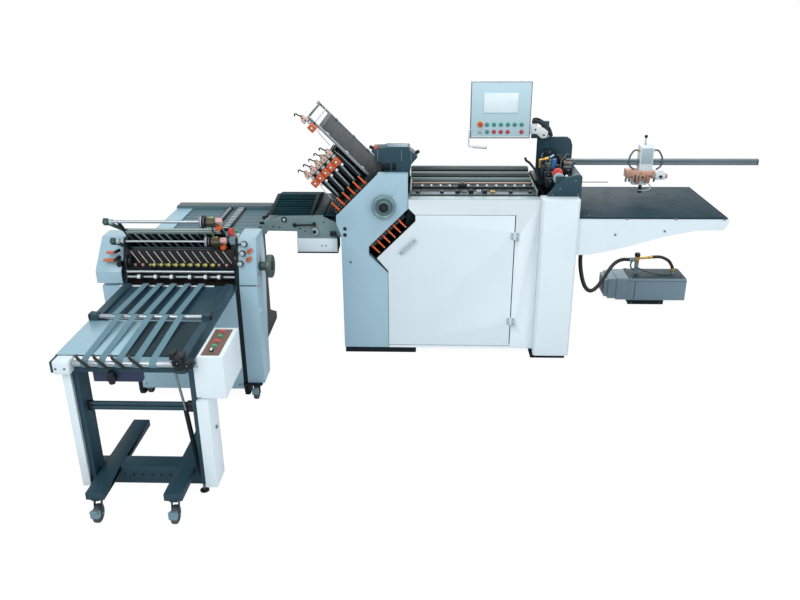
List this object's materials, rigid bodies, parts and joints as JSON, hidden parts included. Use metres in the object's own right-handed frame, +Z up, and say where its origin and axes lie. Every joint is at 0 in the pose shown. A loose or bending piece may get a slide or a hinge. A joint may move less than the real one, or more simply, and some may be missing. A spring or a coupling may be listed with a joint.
{
  "type": "paper folding machine",
  "caption": "Combination folder: flat feeder with suction head, buckle-plate unit, right-angle unit and rolling delivery stand, with pump and hose.",
  "frame": {"origin": "middle of the footprint on the floor, without the hose", "axes": "+Z up, +X towards the feeder, -Y towards the operator"},
  "size_m": [3.957, 2.894, 1.681],
  "materials": {
    "cover_blue": "satin paint",
    "cabinet_white": "satin paint",
    "slate": "satin paint",
    "black": "satin paint",
    "steel": "brushed",
    "orange": "moulded",
    "red": "moulded",
    "hose": "ribbed",
    "tyre": "moulded",
    "pump_grey": "painted"
  },
  "bodies": {
    "main_unit": {"base_frame": "black", "front_side_cover": "cover_blue", "rear_cover": "cover_blue", "cabinet_body": "cabinet_white", "column_cover": "cabinet_white", "feeder_bracket": "cabinet_white", "feeder_table": "black", "feed_head_frame": "slate", "upper_rail": "steel", "register_table": "steel", "long_fold_plate": "slate", "short_fold_plates": "black", "lower_fold_plates": "steel", "pump_body": "pump_grey", "suction_hose": "hose", "bridge_frame": "steel"},
    "door": {"cabinet_door": "cabinet_white"},
    "hood": {"hood": "slate"},
    "main_drive": {"main_handwheel": "steel", "fold_roller_1": "steel"},
    "second_roller": {"fold_roller_2": "black"},
    "drum": {"suction_drum": "steel"},
    "panel": {"control_panel": "cabinet_white"},
    "stop_button": {"emergency_stop": "red"},
    "separator": {"separator_head": "cabinet_white"},
    "separator_lever": {"separator_lever": "black"},
    "bridge_lid": {"bridge_cover": "slate"},
    "unit2": {"unit2_frame": "slate", "unit2_right_cover": "cover_blue", "unit2_left_cover": "cover_blue", "unit2_register_table": "steel", "unit2_fold_plates": "slate"},
    "unit2_drive": {"unit2_handwheel": "steel"},
    "stand": {"stand_base": "slate", "stand_left_leg": "cabinet_white", "stand_right_leg": "cabinet_white", "stand_table": "steel", "stand_control_box": "cabinet_white"},
    "front_roller": {"stand_front_roller": "steel"},
    "mid_roller": {"stand_mid_roller": "steel"},
    "upper_lever_1": {"upper_lever_1": "orange"},
    "upper_lever_2": {"upper_lever_2": "orange"},
    "upper_lever_3": {"upper_lever_3": "orange"},
    "upper_lever_4": {"upper_lever_4": "orange"},
    "upper_lever_5": {"upper_lever_5": "orange"},
    "upper_lever_6": {"upper_lever_6": "orange"},
    "lower_lever_1": {"lower_lever_1": "orange"},
    "lower_lever_2": {"lower_lever_2": "orange"},
    "lower_lever_3": {"lower_lever_3": "orange"},
    "lower_lever_4": {"lower_lever_4": "orange"},
    "lower_lever_5": {"lower_lever_5": "orange"},
    "lower_lever_6": {"lower_lever_6": "orange"},
    "unit2_wheel_1": {"unit2_wheel_1": "tyre"},
    "unit2_wheel_2": {"unit2_wheel_2": "tyre"},
    "unit2_wheel_3": {"unit2_wheel_3": "tyre"},
    "unit2_wheel_4": {"unit2_wheel_4": "tyre"},
    "stand_wheel_1": {"stand_wheel_1": "tyre"},
    "stand_wheel_2": {"stand_wheel_2": "tyre"},
    "stand_wheel_3": {"stand_wheel_3": "tyre"},
    "stand_wheel_4": {"stand_wheel_4": "tyre"}
  },
  "joints": [
    {"name": "door_hinge", "type": "hinge", "parent": "main_unit", "child": "door", "pos_m": [0.4085, 0.331, 0.5], "axis": [0, 0, 1], "range_deg": [0, 110]},
    {"name": "hood_hinge", "type": "hinge", "parent": "main_unit", "child": "hood", "pos_m": [-0.2885, 0.663, 1.165], "axis": [0, 1, 0], "range_deg": [0, 55]},
    {"name": "handwheel_spin", "type": "hinge", "parent": "main_unit", "child": "main_drive", "pos_m": [-0.3985, 0.687, 1.007], "axis": [0, 1, 0], "continuous": true},
    {"name": "second_roller_spin", "type": "hinge", "parent": "main_unit", "child": "second_roller", "pos_m": [-0.427, 0.687, 0.9785], "axis": [0, 1, 0], "continuous": true},
    {"name": "drum_spin", "type": "hinge", "parent": "main_unit", "child": "drum", "pos_m": [0.7415, 0.687, 0.99], "axis": [0, 1, 0], "continuous": true},
    {"name": "panel_swivel", "type": "hinge", "parent": "main_unit", "child": "panel", "pos_m": [0.5725, 0.956, 1.369], "axis": [0, 0, 1], "range_deg": [-30, 60]},
    {"name": "stop_press", "type": "slide", "parent": "panel", "child": "stop_button", "axis": [0, 1, 0], "range_m": [0, 0.0045], "stiffness_N_per_m": 400},
    {"name": "separator_slide", "type": "slide", "parent": "main_unit", "child": "separator", "axis": [1, 0, 0], "range_m": [-0.3, 0.45]},
    {"name": "separator_lever_hinge", "type": "hinge", "parent": "separator", "child": "separator_lever", "pos_m": [1.2545, 0.737, 1.3113], "axis": [0, 1, 0], "range_deg": [-30, 30]},
    {"name": "bridge_lid_hinge", "type": "hinge", "parent": "main_unit", "child": "bridge_lid", "pos_m": [-0.9835, 0.963, 0.9253], "axis": [-1, 0, 0], "range_deg": [0, 85]},
    {"name": "upper_lever_1_hinge", "type": "hinge", "parent": "main_unit", "child": "upper_lever_1", "pos_m": [-0.51049, 0.347, 1.14905], "axis": [0, 1, 0], "range_deg": [0, 35]},
    {"name": "upper_lever_2_hinge", "type": "hinge", "parent": "main_unit", "child": "upper_lever_2", "pos_m": [-0.54372, 0.347, 1.11582], "axis": [0, 1, 0], "range_deg": [0, 35]},
    {"name": "upper_lever_3_hinge", "type": "hinge", "parent": "main_unit", "child": "upper_lever_3", "pos_m": [-0.57696, 0.347, 1.08258], "axis": [0, 1, 0], "range_deg": [0, 35]},
    {"name": "upper_lever_4_hinge", "type": "hinge", "parent": "main_unit", "child": "upper_lever_4", "pos_m": [-0.61019, 0.347, 1.04935], "axis": [0, 1, 0], "range_deg": [0, 35]},
    {"name": "upper_lever_5_hinge", "type": "hinge", "parent": "main_unit", "child": "upper_lever_5", "pos_m": [-0.64342, 0.347, 1.01611], "axis": [0, 1, 0], "range_deg": [0, 35]},
    {"name": "upper_lever_6_hinge", "type": "hinge", "parent": "main_unit", "child": "upper_lever_6", "pos_m": [-0.67666, 0.347, 0.98288], "axis": [0, 1, 0], "range_deg": [0, 35]},
    {"name": "lower_lever_1_hinge", "type": "hinge", "parent": "main_unit", "child": "lower_lever_1", "pos_m": [-0.30613, 0.347, 0.91358], "axis": [0, 1, 0], "range_deg": [0, 35]},
    {"name": "lower_lever_2_hinge", "type": "hinge", "parent": "main_unit", "child": "lower_lever_2", "pos_m": [-0.33937, 0.347, 0.88035], "axis": [0, 1, 0], "range_deg": [0, 35]},
    {"name": "lower_lever_3_hinge", "type": "hinge", "parent": "main_unit", "child": "lower_lever_3", "pos_m": [-0.3726, 0.347, 0.84711], "axis": [0, 1, 0], "range_deg": [0, 35]},
    {"name": "lower_lever_4_hinge", "type": "hinge", "parent": "main_unit", "child": "lower_lever_4", "pos_m": [-0.40584, 0.347, 0.81388], "axis": [0, 1, 0], "range_deg": [0, 35]},
    {"name": "lower_lever_5_hinge", "type": "hinge", "parent": "main_unit", "child": "lower_lever_5", "pos_m": [-0.43907, 0.347, 0.78065], "axis": [0, 1, 0], "range_deg": [0, 35]},
    {"name": "lower_lever_6_hinge", "type": "hinge", "parent": "main_unit", "child": "lower_lever_6", "pos_m": [-0.4723, 0.347, 0.74741], "axis": [0, 1, 0], "range_deg": [0, 35]},
    {"name": "unit2_roll", "type": "slide", "parent": "main_unit", "child": "unit2", "axis": [-1, 0, 0], "range_m": [0, 0.6]},
    {"name": "unit2_handwheel_spin", "type": "hinge", "parent": "unit2", "child": "unit2_drive", "pos_m": [-1.4435, -0.173, 0.8], "axis": [1, 0, 0], "continuous": true},
    {"name": "unit2_wheel_1_spin", "type": "hinge", "parent": "unit2", "child": "unit2_wheel_1", "pos_m": [-1.7835, -0.198, 0.044], "axis": [1, 0, 0], "continuous": true},
    {"name": "unit2_wheel_2_spin", "type": "hinge", "parent": "unit2", "child": "unit2_wheel_2", "pos_m": [-1.1315, -0.263, 0.044], "axis": [1, 0, 0], "continuous": true},
    {"name": "unit2_wheel_3_spin", "type": "hinge", "parent": "unit2", "child": "unit2_wheel_3", "pos_m": [-1.7535, 0.637, 0.044], "axis": [1, 0, 0], "continuous": true},
    {"name": "unit2_wheel_4_spin", "type": "hinge", "parent": "unit2", "child": "unit2_wheel_4", "pos_m": [-1.2585, 0.637, 0.044], "axis": [1, 0, 0], "continuous": true},
    {"name": "stand_roll", "type": "slide", "parent": "unit2", "child": "stand", "axis": [0, -1, 0], "range_m": [0, 0.5]},
    {"name": "front_roller_spin", "type": "hinge", "parent": "stand", "child": "front_roller", "pos_m": [-1.4435, -1.263, 0.738], "axis": [1, 0, 0], "continuous": true},
    {"name": "mid_roller_spin", "type": "hinge", "parent": "stand", "child": "mid_roller", "pos_m": [-1.4435, -0.823, 0.77], "axis": [1, 0, 0], "continuous": true},
    {"name": "stand_wheel_1_spin", "type": "hinge", "parent": "stand", "child": "stand_wheel_1", "pos_m": [-1.6295, -1.403, 0.044], "axis": [1, 0, 0], "continuous": true},
    {"name": "stand_wheel_2_spin", "type": "hinge", "parent": "stand", "child": "stand_wheel_2", "pos_m": [-1.2725, -1.403, 0.044], "axis": [1, 0, 0], "continuous": true},
    {"name": "stand_wheel_3_spin", "type": "hinge", "parent": "stand", "child": "stand_wheel_3", "pos_m": [-1.6295, -1.043, 0.044], "axis": [1, 0, 0], "continuous": true},
    {"name": "stand_wheel_4_spin", "type": "hinge", "parent": "stand", "child": "stand_wheel_4", "pos_m": [-1.2725, -1.043, 0.044], "axis": [1, 0, 0], "continuous": true}
  ],
  "couplings": [
    {"joint": "second_roller_spin", "follows": "handwheel_spin", "ratio": -1}
  ]
}
